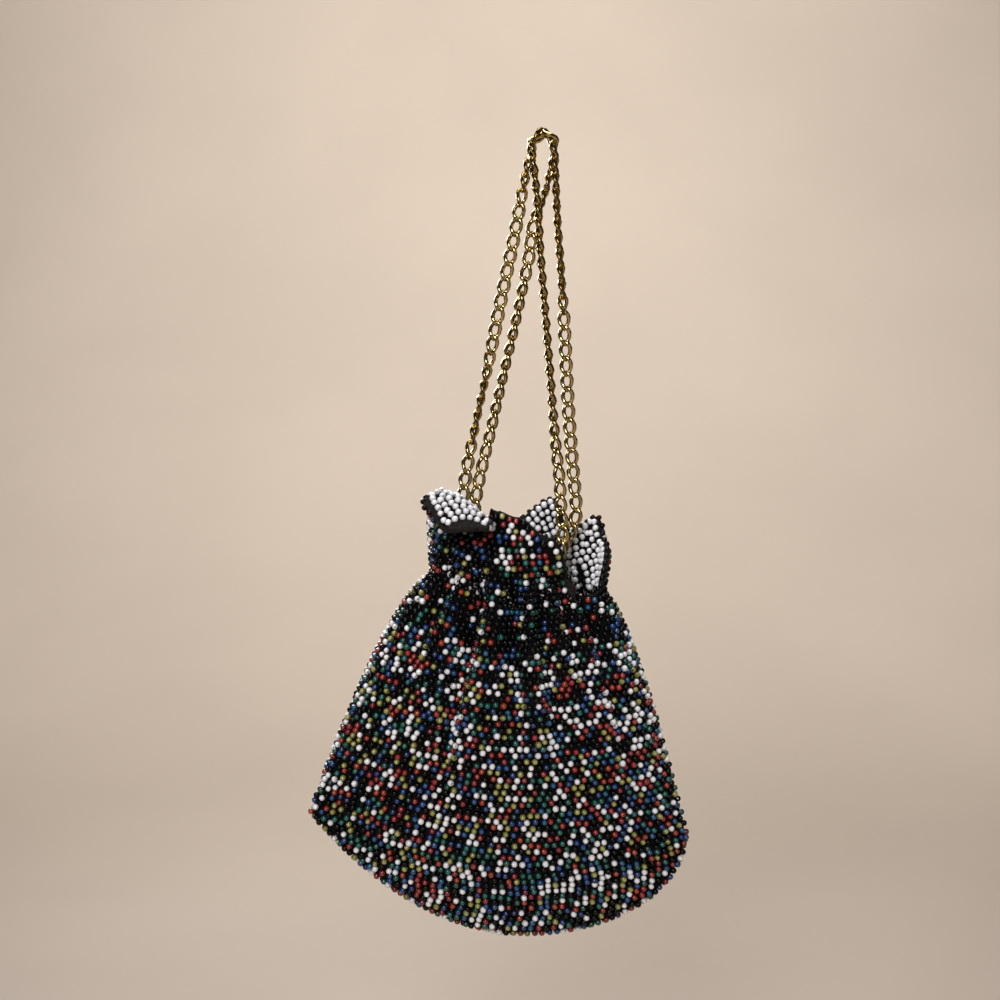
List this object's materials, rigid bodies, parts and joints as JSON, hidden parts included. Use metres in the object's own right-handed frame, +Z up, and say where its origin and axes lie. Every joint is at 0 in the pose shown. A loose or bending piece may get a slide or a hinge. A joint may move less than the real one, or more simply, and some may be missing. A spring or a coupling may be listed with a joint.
{
  "type": "beaded drawstring bag",
  "caption": "Soft beaded evening bag, gathered at the neck under a petalled collar, hung and drawn shut by two closed gold chains.",
  "frame": {"origin": "the hanging point: underside of the chains' top bends, where they lie on what carries the bag", "axes": "+Z up, +X to the right seen from the front, +Y away from the front"},
  "size_m": [0.1596, 0.0612, 0.3381],
  "materials": {
    "thread": "matte black crochet cotton",
    "bead_white": "opaque white glass beads",
    "bead_black": "glossy black glass beads",
    "bead_red": "glossy red glass beads",
    "bead_green": "glossy green glass beads",
    "bead_blue": "glossy blue glass beads",
    "bead_yellow": "translucent mustard glass beads",
    "chain": "polished pale gold"
  },
  "bodies": {
    "root": {"pouch": "thread", "collar": "thread", "collar_facing": "bead_white", "chain_left": "chain", "chain_right": "chain"}
  },
  "joints": []
}
